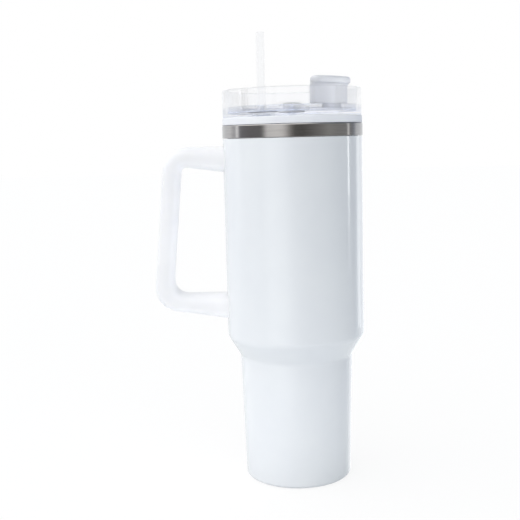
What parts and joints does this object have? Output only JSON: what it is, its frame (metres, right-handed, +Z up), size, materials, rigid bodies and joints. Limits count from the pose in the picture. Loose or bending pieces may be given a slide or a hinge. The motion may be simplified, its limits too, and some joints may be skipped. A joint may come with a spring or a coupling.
{
  "type": "insulated tumbler with lid",
  "caption": "Double-walled steel tumbler with a loop handle, a clear press-in lid with a turning cover and grip tab, and a drinking straw.",
  "frame": {"origin": "centre of the resting face, on the cup's axis", "axes": "+Z up along the cup's axis, -X towards the handle, the handle's loop in the XZ plane, the grip tab towards +X and -Y"},
  "size_m": [0.1525, 0.1006, 0.327],
  "materials": {
    "white_coat": "glossy white coating, slightly cool",
    "brushed_steel": "brushed round the rim",
    "plain_steel": "satin stainless steel",
    "screw_steel": "plain stainless steel",
    "seal_bead": "smooth solidified bead",
    "getter_alloy": "sintered, matte",
    "handle_white": "satin white moulded plastic",
    "clear_plastic": "polished clear plastic",
    "frosted_tab": "satin, slightly milky light grey",
    "white_silicone": "matte white silicone",
    "straw_plastic": "translucent white plastic"
  },
  "bodies": {
    "vessel": {"outer_shell": "white_coat", "rim_band": "brushed_steel", "inner_liner": "plain_steel", "base_plate": "plain_steel", "base_cover": "plain_steel", "vacuum_seal_bead": "seal_bead", "getter": "getter_alloy", "handle": "handle_white", "handle_bracket_upper": "plain_steel", "handle_bracket_lower": "plain_steel", "handle_screw_upper": "screw_steel", "handle_screw_lower": "screw_steel"},
    "lid": {"lid_base": "clear_plastic", "lid_gasket": "white_silicone", "straw_grommet": "white_silicone", "hub_washer": "white_silicone", "pivot_cap": "clear_plastic"},
    "cover": {"rotating_cover": "clear_plastic", "grip_tab": "frosted_tab", "sip_seal": "white_silicone"},
    "drinking_straw": {"straw": "straw_plastic"}
  },
  "joints": [
    {"name": "lid_lift", "type": "slide", "parent": "vessel", "child": "lid", "axis": [0, 0, 1], "range_m": [0, 0.26]},
    {"name": "cover_turn", "type": "hinge", "parent": "lid", "child": "cover", "pos_m": [0, 0, 0.27], "axis": [0, 0, 1], "range_deg": [0, 60]},
    {"name": "straw_slide", "type": "slide", "parent": "lid", "child": "drinking_straw", "axis": [0, 0, 1], "range_m": [0, 0.262]}
  ]
}
